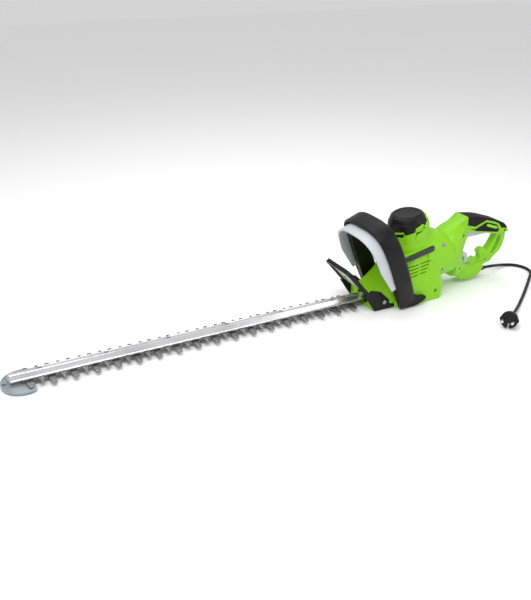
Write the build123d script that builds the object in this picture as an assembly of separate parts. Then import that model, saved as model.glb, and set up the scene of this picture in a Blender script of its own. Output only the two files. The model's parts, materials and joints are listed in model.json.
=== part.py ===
from build123d import *
import math
import os

# Corded hedge trimmer with a double-sided blade and a swivelling rear handle.
# Frame: millimetres, +Z up, +X from the blade tip towards the rear handle, +Y to the operator's
# right. The origin lies on the flat base, on the axis of the drive gear, and z = 0 is the floor.

# ---- blade set --------------------------------------------------------------------------------
PITCH = 38.0
LONG_TEETH = 18
FIRST_TOOTH_X = -760.0
LONG_REACH = 34.5
SHORT_REACH = 29.0
LONG_ROOT, LONG_TIP = 13.5, 8.0
SHORT_ROOT, SHORT_TIP = 11.5, 5.5
SPINE_HALF = 12.5
BLADE_T = 3.0
BLADE_GAP = 0.3
LOWER_Z = 8.0
UPPER_Z = LOWER_Z + BLADE_T + BLADE_GAP
BLADE_TRAVEL = 8.0
GUIDE_BOLTS = 6
GUIDE_BOLT_R = 3.0

# ---- blade bar and tip guard --------------------------------------------------------------------
BAR_X0, BAR_X1 = -791.0, -42.0
BAR_Z0 = UPPER_Z + BLADE_T + BLADE_GAP
BAR_LIP = 1.5
BAR_H = 9.0
BAR_TOP_HALF = 5.0
BAR_FOOT_HALF = 10.0
TIP_R = 38.0
TIP_X = -769.0
TIP_REAR_X = -752.0
TIP_Z0, TIP_Z1 = 3.0, 7.7
HANG_HOLE_R = 4.0

# ---- drive --------------------------------------------------------------------------------------
CAM_R = 9.0
CAM_THROW = BLADE_TRAVEL
YOKE_X = CAM_R + 2 * CAM_THROW + 1.0
YOKE_Y = CAM_R + CAM_THROW + 0.8
YOKE_RIM = 6.0
GEAR_R = 36.0
GEAR_T = 6.0
GEAR_Z = UPPER_Z + BLADE_T + 1.2
GEAR_TEETH = 60
SHAFT_R = 5.0
RUN_FIT = 0.05
GEARBOX_TOP = GEAR_Z + GEAR_T + 3.5

# ---- motor, tilted forward ------------------------------------------------------------------------
MOTOR_TILT = 8.5
DISC_X, DISC_Z = 21.5, 184.4
DISC_R = 28.6
CAP_R = 42.5
CAP_DROP = 23.0
CAP_SKIRT = 9.0
LOBES = 6
LOBE_DROP = 9.0
COLLAR_R = 43.4
PINION_R = 7.0
PINION_TEETH = 12
PINION_TOP = 154.5
PINION_LEN = 11.0
BEARING_R = 11.0
ARM_SHAFT_R = 4.0
STATOR_TOP = 58.0
STATOR_LEN = 52.0

# ---- housing --------------------------------------------------------------------------------------
WALL = 3.0
NOSE_X = -76.0
SEAM = 0.05
SWIVEL_X, SWIVEL_Z = 126.0, 80.0
SWIVEL_RISE = 13.0
RING_R = 48.0
PLATE_FACE_Y = 51.4
HUB_R = 36.0
PLATE_X0, PLATE_X1, PLATE_Y, PLATE_T = -66.0, 58.0, 37.0, 4.5

# ---- front handle and switch lever ------------------------------------------------------------------
BAIL_LEAN = 22.0
BAIL_FOOT_X, BAIL_FOOT_Z = -8.0, 12.0
BAIL_HALF, BAIL_H = 79.0, 187.0
BAIL_THICK = 24.0
BAIL_DEPTH = 40.0
STRIP_HALF, STRIP_H = 73.5, 177.0
STRIP_THICK = 4.0
STRIP_DEPTH = 20.0
STRIP_GROOVE = 12.0
FOOT_INNER = 57.5
HANDLE_SCREW = (27.0, 14.0)
LEVER_FOOT = 0.31
LEVER_PIVOT = (-44.9, 60.6)
LEVER_PIN_R = 2.0

# ---- hand guard -----------------------------------------------------------------------------------
GUARD_LEAN = 40.4
GUARD_X, GUARD_Z = -64.0, 12.0
GUARD_HALF, GUARD_H = 47.0, 116.0
GUARD_BORDER = 9.0
GUARD_T = 8.0
GUARD_SCREW = (-54.5, 17.8)

# ---- rear handle ------------------------------------------------------------------------------------
GRIP_HALF = 18.0
GRIP_WALL = 3.0
GRIP_TOP = [(168, 156.0), (207, 149.5), (248, 137), (274, 126.5)]
BOW_HALF = 8.0
HOOK_OUTLINE = [
    (229, 40), (230, 54), (225, 60), (225.5, 65), (231, 68.5), (240, 68.5), (247, 64), (247.5, 57), (252, 54),
    (250, 46),
]
BOW_REGION = [(300, 104), (258, 100), (250, 72), (226, 46), (236, 20), (262, 10), (310, 40)]
FORK_REGION = [(100, 0), (100, 200), (168, 200), (200, 130), (200, 0)]
TRIGGER_PIVOT = (262.0, 116.0)

# ---- cord -------------------------------------------------------------------------------------------
CORD_D = 6.4
CORD_Z = CORD_D / 2 + 0.1
BUSH_R = 6.0
CORD_ROUTE = [
    (253.0, 0.0, 16.0),
    (275.0, 0.0, 15.3),
    (296.0, 5.0, 10.5),
    (321.0, 13.0, 4.0),
    (346.5, 4.2, CORD_Z),
    (360.2, -19.1, CORD_Z),
    (355.5, -45.7, CORD_Z),
    (330.0, -66.7, CORD_Z),
    (294.8, -94.7, CORD_Z),
    (259.1, -122.1, CORD_Z),
    (223.7, -148.3, CORD_Z),
    (189.5, -172.7, 4.3),
    (156.7, -195.6, 10.6),
]
PLUG_R = 16.6
PLUG_LEN = 52.0
PLUG_PIN_R = 2.4
PLUG_PIN_GAP = 19.0
PLUG_PIN_LEN = 19.0
PLUG_ROOT_R = 2.0
PLUG_STEP = 0.4


# ---- helpers ----------------------------------------------------------------------------------------
def box(x0, x1, y0, y1, z0, z1):
    centre = ((x0 + x1) / 2, (y0 + y1) / 2, (z0 + z1) / 2)
    return Pos(*centre) * Box(x1 - x0, y1 - y0, z1 - z0)


def side_prism(points, y0, y1):
    """A side profile in X-Z, standing between two Y values."""
    flat = make_face(Polyline(*points, close=True))
    return extrude(Plane.XZ.offset(-y1) * flat, amount=y1 - y0)


def plan_prism(points, z0, z1):
    """A plan outline in X-Y, standing between two heights."""
    flat = make_face(Polyline(*points, close=True))
    return extrude(Plane.XY.offset(z0) * flat, amount=z1 - z0)


def cylinder_between(a, b, radius):
    axis = Vector(*b) - Vector(*a)
    plane = Plane(origin=a, z_dir=axis.normalized())
    return extrude(plane * Circle(radius), amount=axis.length)


def tilted_plane(x, z, lean, along=0.0):
    """A plane whose normal leans forward from +Z by `lean` degrees, moved `along` that normal."""
    a = math.radians(lean)
    normal = Vector(-math.sin(a), 0, math.cos(a))
    return Plane(origin=Vector(x, 0, z) + normal * along, x_dir=(math.cos(a), 0, math.sin(a)), z_dir=normal)


def motor_plane(below_disc):
    """Square to the motor axis, at a distance below the cap's top disc."""
    return tilted_plane(DISC_X, DISC_Z, MOTOR_TILT, -below_disc)


def swivel_plane(behind_ring):
    """Square to the swivel axis, local x along Y and local y up, at a distance behind the ring."""
    a = math.radians(SWIVEL_RISE)
    axis = Vector(math.cos(a), 0, math.sin(a))
    origin = Vector(SWIVEL_X, 0, SWIVEL_Z) + axis * behind_ring
    return Plane(origin=origin, x_dir=(0, 1, 0), z_dir=axis)


def rounded_section(plane, half_w, half_h, radius):
    limit = 0.995 * min(half_w, half_h)
    return plane * RectangleRounded(2 * half_w, 2 * half_h, min(radius, limit))


def x_plane(x, z):
    return Plane(origin=(x, 0, z), x_dir=(0, 1, 0), z_dir=(1, 0, 0))


def z_plane(x, z):
    return Plane(origin=(x, 0, z), x_dir=(1, 0, 0), z_dir=(0, 0, 1))


def try_fillet(part, edges, radius):
    """Rounds the edges, or leaves them sharp where the kernel can't."""
    try:
        rounded = fillet(edges, radius)
        return rounded if rounded.is_valid else part
    except Exception:
        return part


# ---- blades -------------------------------------------------------------------------------------------
def tooth(x, side, root, tip, reach):
    outline = [
        (x - root / 2, side * (SPINE_HALF - 1)),
        (x + root / 2, side * (SPINE_HALF - 1)),
        (x + tip / 2, side * (reach - 1.5)),
        (x + tip / 2 - 1.5, side * reach),
        (x - tip / 2 + 1.5, side * reach),
        (x - tip / 2, side * (reach - 1.5)),
    ]
    return make_face(Polyline(*outline, close=True))


def guide_bolt_xs():
    first, last = FIRST_TOOTH_X + 20, -150.0
    step = (last - first) / (GUIDE_BOLTS - 1)
    return [first + i * step for i in range(GUIDE_BOLTS)]


def drive_end():
    """The yoke: a wide eye around the cam, with room for its whole swing."""
    outer = RectangleRounded(2 * (YOKE_X + YOKE_RIM), 2 * (YOKE_Y + YOKE_RIM), 10)
    neck = Pos(-70, 0) * Rectangle(100, 2 * SPINE_HALF)
    return outer + neck


def blade(z, first_x, count, root, tip, reach):
    spine_x0 = FIRST_TOOTH_X - 12
    spine_x1 = -40.0
    flat = Pos((spine_x0 + spine_x1) / 2, 0) * Rectangle(spine_x1 - spine_x0, 2 * SPINE_HALF)
    flat += drive_end()
    for i in range(count):
        for side in (-1, 1):
            flat += tooth(first_x + i * PITCH, side, root, tip, reach)
    flat -= Rectangle(2 * YOKE_X, 2 * YOKE_Y)
    for x in guide_bolt_xs():
        flat -= Pos(x, 0) * SlotOverall(2 * (BLADE_TRAVEL + GUIDE_BOLT_R + 0.7), 2 * GUIDE_BOLT_R + 0.8)
    return extrude(Plane.XY.offset(z) * flat, amount=BLADE_T)


def lower_blade():
    return blade(LOWER_Z, FIRST_TOOTH_X, LONG_TEETH, LONG_ROOT, LONG_TIP, LONG_REACH)


def upper_blade():
    return blade(UPPER_Z, FIRST_TOOTH_X + PITCH / 2, LONG_TEETH - 1, SHORT_ROOT, SHORT_TIP, SHORT_REACH)


def blade_bar():
    top = BAR_Z0 + BAR_LIP + BAR_H
    half = [
        (BAR_FOOT_HALF + 2.5, BAR_Z0),
        (BAR_FOOT_HALF + 2.5, BAR_Z0 + BAR_LIP),
        (BAR_FOOT_HALF - 0.5, BAR_Z0 + BAR_LIP),
        (BAR_TOP_HALF + 0.6, top - 0.6),
        (BAR_TOP_HALF - 0.6, top),
    ]
    outline = half + [(-y, z) for y, z in reversed(half)]
    section = Plane(origin=(BAR_X0, 0, 0), x_dir=(0, 1, 0), z_dir=(1, 0, 0)) * make_face(
        Polyline(*outline, close=True)
    )
    bar = extrude(section, amount=BAR_X1 - BAR_X0)
    for x in guide_bolt_xs():
        bar -= cylinder_between((x, 0, BAR_Z0 - 1), (x, 0, top + 1), GUIDE_BOLT_R + 0.1)
        bar -= cylinder_between((x, 0, top - 2.6), (x, 0, top + 1), 4.4)
    return bar


def blade_bolts():
    """Countersunk screws from the bar down through both blades, with a spacer washer and nut below."""
    top = BAR_Z0 + BAR_LIP + BAR_H
    group = []
    for x in guide_bolt_xs():
        bolt = cylinder_between((x, 0, 5.6), (x, 0, top - 1.6), GUIDE_BOLT_R)
        bolt += cylinder_between((x, 0, top - 2.4), (x, 0, top - 0.6), 4.2)
        bolt -= Pos(x, 0, top) * Box(5, 1.1, 3)
        washer = z_plane(x, 6.6) * RegularPolygon(6.4, 6)
        if x > TIP_REAR_X:
            bolt += extrude(washer, amount=1.1)
        else:
            bolt += extrude(z_plane(x, 5.6) * Circle(2.9), amount=1)
        group.append(bolt)
    return group


def tip_guard():
    """An oval plate under the tip with a skid rib and a hanging hole, closed over the bar's end."""
    disc = Pos(TIP_X, 0) * Ellipse(TIP_R, TIP_R + 1)
    keep = Pos((TIP_X - TIP_R + TIP_REAR_X) / 2 - 2, 0) * Rectangle(TIP_REAR_X - TIP_X + TIP_R + 4, 100)
    flat = disc & keep
    hang_x = TIP_X - TIP_R + 7
    flat -= Pos(hang_x, 0) * Circle(HANG_HOLE_R)
    plate = extrude(Plane.XY.offset(TIP_Z0) * flat, amount=TIP_Z1 - TIP_Z0)
    skid = plan_prism([(-788, -9), (-758, -9), (-758, 9), (-788, 9)], 0.0, TIP_Z0 + 0.5)
    nose = box(BAR_X0 - 2.5, BAR_X0 - 0.3, -8, 8, TIP_Z1 - 0.5, BAR_Z0 + 4.5)
    first_bolt = guide_bolt_xs()[0]
    guard = plate + skid + nose
    return guard - cylinder_between((first_bolt, 0, -1), (first_bolt, 0, TIP_Z1 + 1), GUIDE_BOLT_R + 0.1)


# ---- drive ----------------------------------------------------------------------------------------------
def toothed_disc(radius, teeth, depth):
    disc = Circle(radius - depth)
    step = 360.0 / teeth
    width = math.pi * radius / teeth * 0.85
    for i in range(teeth):
        disc += Rot(0, 0, i * step) * (Pos(radius - depth / 2 - 0.3, 0) * Rectangle(depth + 0.6, width))
    return disc


def drive_gear():
    """The gear with its two cams below it, thrown to opposite sides."""
    gear = extrude(Plane.XY.offset(GEAR_Z) * toothed_disc(GEAR_R, GEAR_TEETH, 2.0), amount=GEAR_T)
    hub = extrude(Plane.XY.offset(GEAR_Z + GEAR_T - 0.5) * Circle(10), amount=2.5)
    upper_face = Plane.XY.offset(UPPER_Z) * (Pos(0, CAM_THROW) * Circle(CAM_R))
    upper = extrude(upper_face, amount=GEAR_Z - UPPER_Z + 0.5)
    lower = extrude(
        Plane.XY.offset(LOWER_Z) * (Pos(0, -CAM_THROW) * Circle(CAM_R)), amount=UPPER_Z - LOWER_Z
    )
    core = extrude(Plane.XY.offset(LOWER_Z) * Circle(SHAFT_R + 3.2), amount=GEAR_Z - LOWER_Z + 0.5)
    whole = gear + hub + upper + lower + core
    for i in range(5):
        hole = Rot(0, 0, 72 * i + 36) * Pos(23, 0, GEAR_Z) * Cylinder(5, 3 * GEAR_T)
        whole -= hole
    return whole - cylinder_between((0, 0, 0), (0, 0, 60), SHAFT_R + RUN_FIT)


def gearbox_base():
    """The metal base plate: the flat that the trimmer stands on."""
    outline = RectangleRounded(PLATE_X1 - PLATE_X0, 2 * PLATE_Y, 12)
    centre = (PLATE_X0 + PLATE_X1) / 2
    plate = extrude(Plane.XY * (Pos(centre, 0) * outline), amount=PLATE_T)
    ring = extrude(Plane.XY.offset(PLATE_T - 0.5) * Circle(8.5), amount=LOWER_Z - PLATE_T)
    plate += ring
    plate -= cylinder_between((0, 0, 2), (0, 0, 20), SHAFT_R)
    for x, y in gearbox_screw_points():
        plate -= cylinder_between((x, y, -1), (x, y, 20), 2.1)
        plate -= cylinder_between((x, y, -1), (x, y, 2.2), 4.2)
    return plate


def gearbox_screw_points():
    return [(PLATE_X1 - 9, side * (PLATE_Y - 7)) for side in (-1, 1)] + [(-56, side * 30) for side in (-1, 1)]


def gear_shaft():
    return cylinder_between((0, 0, 2), (0, 0, GEARBOX_TOP + 4), SHAFT_R)


def gearbox_cover():
    """The cast cover over the gear, with the shaft boss and the motor's lower bearing seat."""
    plate = extrude(
        Plane.XY.offset(GEARBOX_TOP) * (Pos(6, 0) * RectangleRounded(96, 76, 16)), amount=4.0
    )
    boss = extrude(Plane.XY.offset(GEARBOX_TOP) * Circle(10), amount=9.0)
    seat = extrude(motor_plane(PINION_TOP + 14) * Circle(13.5), amount=23.0)
    seat &= box(-10, 90, -40, 40, GEARBOX_TOP, 60)
    cover = plate + boss + seat
    cover -= cylinder_between((0, 0, 0), (0, 0, GEARBOX_TOP + 4), SHAFT_R)
    cover -= extrude(motor_plane(PINION_TOP + 14) * Circle(BEARING_R), amount=40.0)
    for side in (-1, 1):
        leg = box(PLATE_X1 - 16, PLATE_X1 - 5, side * 30 - 5, side * 30 + 5, PLATE_T + 0.1, GEARBOX_TOP + 1)
        cover += leg
        x, y = PLATE_X1 - 9, side * (PLATE_Y - 7)
        cover -= cylinder_between((x, y, 0), (x, y, 22), 2.1)
    return cover


def gearbox_screws():
    group = []
    for x, y in gearbox_screw_points():
        tall = 20.0 if x > 0 else 12.0
        screw = cylinder_between((x, y, 1.2), (x, y, tall), 2.0)
        screw += cylinder_between((x, y, 0.2), (x, y, 2.1), 4.0)
        screw -= Pos(x, y, 0) * Box(5.4, 1.1, 2.0)
        screw -= Pos(x, y, 0) * Box(1.1, 5.4, 2.0)
        group.append(screw)
    return group


# ---- motor ----------------------------------------------------------------------------------------------
def along_motor(top, length, radius):
    """A cylinder on the motor axis that starts `top` below the disc and runs down by `length`."""
    return extrude(motor_plane(top + length) * Circle(radius), amount=length)


def armature_shaft():
    shaft = along_motor(22.0, PINION_TOP + PINION_LEN - 22.0, ARM_SHAFT_R)
    pinion = extrude(
        motor_plane(PINION_TOP + PINION_LEN + 0.0) * toothed_disc(PINION_R, PINION_TEETH, 1.8), amount=PINION_LEN
    )
    return shaft + pinion


def armature_core():
    slots = Circle(23.5)
    for i in range(12):
        slots -= Rot(0, 0, 30 * i) * (Pos(21.5, 0) * Rectangle(6, 2.4))
    slots -= Circle(ARM_SHAFT_R)
    return extrude(motor_plane(STATOR_TOP + STATOR_LEN) * slots, amount=STATOR_LEN)


def commutator():
    return along_motor(36.0, 16.0, 12.0) - along_motor(30.0, 30.0, ARM_SHAFT_R)


def cooling_fan():
    """The fan below the windings: a disc, a hub and curved-back blades."""
    top = STATOR_TOP + STATOR_LEN + 6
    disc = Circle(37.0) - Circle(ARM_SHAFT_R)
    fan = extrude(motor_plane(top + 12) * disc, amount=2.0)
    fan += extrude(motor_plane(top + 11) * (Circle(10) - Circle(ARM_SHAFT_R)), amount=10.0)
    vane = Pos(23, 0) * Rot(0, 0, 25) * Rectangle(22, 1.6)
    for i in range(12):
        fan += extrude(motor_plane(top + 10.5) * (Rot(0, 0, 30 * i) * vane), amount=9.0)
    return fan


def bearing(top, inner):
    """A ball bearing drawn as its two rings and a shield between them."""
    outer = along_motor(top, 7.0, BEARING_R) - along_motor(top - 1, 9.0, BEARING_R - 2)
    cage = along_motor(top + 1, 5.0, BEARING_R - 2) - along_motor(top, 9.0, inner + 0.05)
    return outer + cage


def lower_bearing():
    return bearing(PINION_TOP - 8.5, ARM_SHAFT_R)


def upper_bearing():
    return bearing(23.0, ARM_SHAFT_R)


def stator():
    ring = Circle(38.0) - Circle(31.0)
    pole = Circle(33.0) - Circle(24.6)
    pole &= Rectangle(80, 34)
    return extrude(motor_plane(STATOR_TOP + STATOR_LEN) * (ring + pole), amount=STATOR_LEN)


def field_windings():
    group = []
    for side in (-1, 1):
        coil = Circle(30.4) - Circle(25.2)
        coil &= Pos(0, side * 32) * Rectangle(80, 22)
        group.append(extrude(motor_plane(STATOR_TOP + STATOR_LEN + 4) * coil, amount=STATOR_LEN + 8))
    return group


def brush_holders():
    group = []
    for side in (-1, 1):
        y0, y1 = (13.5, 30.0) if side > 0 else (-30.0, -13.5)
        plane = motor_plane(49.0)
        outer = plane * Pos(0, (y0 + y1) / 2) * Rectangle(12, y1 - y0)
        inner = plane * Pos(0, (y0 + y1) / 2) * Rectangle(7.4, y1 - y0 + 2)
        group.append(extrude(outer, amount=10.0) - extrude(inner, amount=20.0, both=True) + extrude(
            plane * Pos(0, side * 29) * Rectangle(12, 2), amount=10.0))
    return group


def carbon_brushes():
    group = []
    for side in (-1, 1):
        plane = motor_plane(48.0)
        outline = plane * Pos(0, side * 19.0) * Rectangle(6.8, 13.0)
        group.append(extrude(outline, amount=8.0))
    return group


# ---- housing ----------------------------------------------------------------------------------------------
def lobe_angles(offset):
    return [offset + 360.0 / LOBES * i for i in range(LOBES)]


def sector(below, depth, inner, outer, angle, spread):
    """A ring sector about the motor axis, between two radii, used for the collar's lobes."""
    ring = Circle(outer) - Circle(inner) if inner > 0 else Circle(outer)
    reach = outer * 1.6
    half = math.radians(spread / 2)
    wedge = make_face(
        Polyline((0, 0), (reach, -reach * math.tan(half)), (reach, reach * math.tan(half)), close=True)
    )
    flat = ring & (Rot(0, 0, angle) * wedge)
    return extrude(motor_plane(below + depth) * flat, amount=depth)


COLLAR_TOP = CAP_DROP + CAP_SKIRT + 0.3


def body_shell(inset):
    """The housing's outer form, or its cavity when inset is the wall thickness."""
    d = inset
    tower = [
        (z_plane(33, d), 63 - d, 55 - d, 18),
        (z_plane(35, 42), 62 - d, 54 - d, 22),
        (z_plane(35, 96), 51 - d, 50 - d, 36),
        (motor_plane(COLLAR_TOP + 10), COLLAR_R - 2 - d, COLLAR_R - 2 - d, 60),
    ]
    nose = [
        (x_plane(NOSE_X + d, 15), 43 - d, 15 - d, 7),
        (x_plane(-56, 18), 45 - d, 18 - d, 12),
        (x_plane(-14, 33), 50 - d, 33 - d, 18),
        (x_plane(20, 42), 53 - d, 42 - d, 20),
    ]
    neck = [
        (x_plane(46, 80), 52 - d, 70 - d, 52),
        (x_plane(84, 84), 51.5 - d, 58 - d, 52),
        (swivel_plane(0 - d), RING_R - d, RING_R - d, 60),
    ]
    body = loft([rounded_section(*s) for s in tower])
    body += loft([rounded_section(*s) for s in nose])
    body += loft([rounded_section(*s) for s in neck])
    collar = extrude(motor_plane(COLLAR_TOP + 40) * Circle(COLLAR_R - d), amount=40.0 + 3 * d)
    body += collar
    return body & box(-200, 200, -80, 80, d, 300)


def vent_slots():
    """Rows of cooling slots low on each side, rising gently to the rear."""
    slots = []
    blocks = [(-4.0, 23.0), (27.0, 53.0)]
    for row in range(4):
        for x0, x1 in blocks:
            end = x1 - 3.5 * row if x1 > 30 else x1
            z = 84.0 - 7.2 * row
            slot = Box(end - x0, 140, 2.4)
            rise = (x0 + end) / 2 * math.tan(math.radians(8))
            slots.append(Pos((x0 + end) / 2, 0, z + rise) * Rot(0, -8, 0) * slot)
    return slots


def housing_whole():
    shell = body_shell(0) - body_shell(WALL)
    for angle in lobe_angles(30):
        shell += sector(COLLAR_TOP - LOBE_DROP, LOBE_DROP + 1, CAP_R - 2.6, COLLAR_R, angle, 27)
        shell -= sector(COLLAR_TOP - LOBE_DROP + 4, 18, 30, 60, angle + 7, 4)
    shell += badge_pad() & box(-100, 200, -60, 60, 0, 300)
    mouth = box(-120, NOSE_X + 6, -18, 18, LOWER_Z - 1.5, BAR_Z0 + BAR_LIP + BAR_H + 1.5)
    shell -= mouth
    shell -= box(PLATE_X0 - 0.3, PLATE_X1 + 0.3, -PLATE_Y - 0.3, PLATE_Y + 0.3, -1, PLATE_T + 2)
    shell -= extrude(swivel_plane(-12) * Circle(HUB_R + 0.5), amount=30.0)
    for slot in vent_slots():
        shell -= slot
    for x, z in housing_screw_points():
        post = cylinder_between((x, -60, z), (x, 60, z), 5.0) & body_shell(0)
        shell += post
        shell -= cylinder_between((x, -80, z), (x, 80, z), 2.1)
        shell -= cylinder_between((x, -80, z), (x, -screw_seat(x), z), 4.3)
    return shell - handle_screw_bore()


def housing_screw_points():
    return [(-60.0, 30.5), (72.0, 20.0), (88.0, 62.0), (90.0, 116.0)]


def screw_seat(x):
    return 38.0 if x < 0 else 44.0


def housing_screws():
    group = []
    for x, z in housing_screw_points():
        seat = screw_seat(x)
        screw = cylinder_between((x, -seat - 2.4, z), (x, -seat, z), 4.0)
        screw += cylinder_between((x, -seat, z), (x, 16.0, z), 2.0)
        screw -= Pos(x, -seat - 2.4, z) * Box(5.2, 2.4, 1.1)
        screw -= Pos(x, -seat - 2.4, z) * Box(1.1, 2.4, 5.2)
        group.append(screw)
    return group


def motor_cap():
    """The domed cap over the motor: a dished disc, a round shoulder and a lobed skirt."""
    def form(inset):
        profile = [
            (0, 0 - inset),
            (DISC_R - inset, 0 - inset),
            (DISC_R + 4 - inset, -2.5 - inset * 0.7),
            (CAP_R - 3.5 - inset, -11.5 - inset * 0.4),
            (CAP_R - inset, -CAP_DROP),
            (CAP_R - inset, -CAP_DROP - CAP_SKIRT),
            (0, -CAP_DROP - CAP_SKIRT),
        ]
        flat = Plane.XZ * make_face(Polyline(*profile, close=True))
        return motor_plane(0) * revolve(flat, Axis.Z)
    cap = form(0) - form(2.6)
    dish = extrude(motor_plane(0) * Circle(DISC_R - 3.5), amount=-1.2)
    cap -= dish
    for angle in lobe_angles(30):
        cap -= sector(COLLAR_TOP - LOBE_DROP - 0.3, 40, 30, 60, angle, 28.5)
    return cap


def badge_plane(y):
    a = math.radians(12)
    return Plane(origin=(22, y, 110.5), x_dir=(math.cos(a), 0, math.sin(a)), z_dir=(0, -1, 0))


def badge_pad():
    """The raised flat that carries the blank plate, on the left side only."""
    pad = extrude(badge_plane(-PLATE_FACE_Y) * RectangleRounded(80, 17.5, 8.7), amount=-8.0)
    return pad - body_shell(WALL)


def brand_plate():
    """A blank pill-shaped plate on the left side."""
    return extrude(badge_plane(-PLATE_FACE_Y) * RectangleRounded(76.5, 13.5, 6.7), amount=1.2)


# ---- front handle ---------------------------------------------------------------------------------------
def arch_outline(half, height, foot_half):
    """Half of the handle's arch, as points (across, up) from the foot to the crown."""
    return [
        (foot_half, 0),
        (foot_half + 0.35 * (half - foot_half), 0.10 * height),
        (foot_half + 0.85 * (half - foot_half), 0.28 * height),
        (half, 0.50 * height),
        (half - 0.035 * half, 0.72 * height),
        (half - 0.19 * half, 0.90 * height),
        (half - 0.55 * half, 0.985 * height),
        (0, height),
    ]


def arch_face(half, height, foot_half, thick, foot_thick):
    outer = arch_outline(half, height, foot_half)
    inner = arch_outline(half - thick, height - thick, foot_half - foot_thick)
    inner[0] = (inner[0][0], -0.01)
    full_outer = outer + [(-y, z) for y, z in reversed(outer[:-1])]
    full_inner = inner + [(-y, z) for y, z in reversed(inner[:-1])]
    outer_edge = Spline(*full_outer)
    inner_edge = Spline(*full_inner)
    feet = [Line(full_outer[0], full_inner[0]), Line(full_outer[-1], full_inner[-1])]
    return make_face([outer_edge, inner_edge] + feet)


def bail_plane(depth):
    """The plane of the arch, local x along Y and local y up the lean, moved towards the rear."""
    a = math.radians(BAIL_LEAN)
    rear = Vector(math.cos(a), 0, math.sin(a))
    origin = Vector(BAIL_FOOT_X, 0, BAIL_FOOT_Z) + rear * depth
    return Plane(origin=origin, x_dir=(0, 1, 0), z_dir=rear)


def front_handle():
    arch = arch_face(BAIL_HALF, BAIL_H, FOOT_INNER + 12, BAIL_THICK, 11.5)
    body = extrude(bail_plane(-BAIL_DEPTH / 2) * arch, amount=BAIL_DEPTH)
    body = try_fillet(body, body.edges().group_by(SortBy.LENGTH)[-1], 3.5)
    front = -BAIL_DEPTH / 2 - 1
    groove = arch_face(STRIP_HALF + 1.1, STRIP_H + 1.6, FOOT_INNER + 10.5, STRIP_THICK + 2.6, 6.0)
    groove_low = LEVER_FOOT * STRIP_H - 6
    above_foot = Pos(0, groove_low + 100) * Rectangle(300, 200)
    reach = extrude(bail_plane(front - 1) * above_foot, amount=STRIP_GROOVE + 4)
    body -= extrude(bail_plane(front) * groove, amount=STRIP_GROOVE + 1) & reach
    for side in (-1, 1):
        y0, y1 = (FOOT_INNER, FOOT_INNER + 7) if side > 0 else (-FOOT_INNER - 7, -FOOT_INNER)
        pad = side_prism([(-26, 4), (8, 2), (26, 6), (40, 15), (36, 20), (20, 23), (4, 34), (-22, 26)], y0, y1)
        body += pad
    body &= box(-300, 300, -100, 100, 1.0, 300)
    body -= box(-60, 60, -FOOT_INNER, FOOT_INNER, -10, 34)
    for side in (-1, 1):
        x, z = HANDLE_SCREW
        body -= cylinder_between((x, side * (FOOT_INNER + 4.0), z), (x, side * 80, z), 4.2)
    x, z = LEVER_PIVOT
    for side in (-1, 1):
        body -= cylinder_between((x, side * 65.8, z), (x, side * 76.2, z), LEVER_PIN_R + 0.1)
    return body - handle_screw_bore()


def handle_screw_bore():
    x, z = HANDLE_SCREW
    return cylinder_between((x, -80, z), (x, 80, z), 2.1)


def handle_spacers():
    """Two bosses that carry the front handle's feet on the housing's sides."""
    group = []
    for side in (-1, 1):
        pad = side_prism([(-14, 6), (24, 7), (36, 15), (32, 19), (0, 24), (-14, 22)], 55.05, FOOT_INNER)
        pad -= handle_screw_bore()
        group.append(pad if side > 0 else mirror(pad, about=Plane.XZ))
    return group


def handle_screws():
    group = []
    for side in (-1, 1):
        x, z = HANDLE_SCREW
        seat = FOOT_INNER + 4.0
        screw = cylinder_between((x, side * seat, z), (x, side * (seat + 2.0), z), 4.0)
        screw += cylinder_between((x, side * 46.0, z), (x, side * seat, z), 2.0)
        screw -= Pos(x, side * (seat + 2.0), z) * Box(5.4, 2.0, 1.1)
        screw -= Pos(x, side * (seat + 2.0), z) * Box(1.1, 2.0, 5.4)
        group.append(screw)
    return group


def front_switch_lever():
    """The second-hand switch: a flat band inside the arch that swings back into the handle's groove."""
    arch = arch_face(STRIP_HALF, STRIP_H, FOOT_INNER + 9.5, STRIP_THICK, 4.0)
    front = -BAIL_DEPTH / 2 - STRIP_DEPTH
    band = extrude(bail_plane(front) * arch, amount=STRIP_DEPTH + 3.0)
    low = LEVER_FOOT * STRIP_H
    keep = extrude(bail_plane(front - 5) * (Pos(0, low + 100) * Rectangle(300, 200)), amount=60)
    band &= keep
    taper = extrude(
        Plane.XZ * make_face(Polyline(
            lever_point(front - 2, low - 2), lever_point(-BAIL_DEPTH / 2 - 9, low - 2),
            lever_point(front - 2, low + 62), close=True)),
        amount=100, both=True)
    lever = band - taper
    x, z = LEVER_PIVOT
    for side in (-1, 1):
        lever += cylinder_between((x, side * 69.4, z), (x, side * 72.8, z), LEVER_PIN_R + 1.5)
        lever += cylinder_between((x, side * 66.0, z), (x, side * 76.0, z), LEVER_PIN_R)
    return lever


def lever_point(depth, up):
    a = math.radians(BAIL_LEAN)
    return (
        BAIL_FOOT_X + depth * math.cos(a) - up * math.sin(a),
        BAIL_FOOT_Z + depth * math.sin(a) + up * math.cos(a),
    )


# ---- hand guard ---------------------------------------------------------------------------------------------
def guard_plane(depth):
    a = math.radians(GUARD_LEAN)
    rear = Vector(math.cos(a), 0, math.sin(a))
    origin = Vector(GUARD_X, 0, GUARD_Z) + rear * depth
    return Plane(origin=origin, x_dir=(0, 1, 0), z_dir=rear)


def guard_face(half, low, high, corner):
    flat = Pos(0, (low + high) / 2) * RectangleRounded(2 * half, high - low, corner)
    return flat


def guard_side():
    return [(-102, 40), (-86, 49), (-64, 42), (-22, 1.5), (-76, 1.5)]


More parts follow.
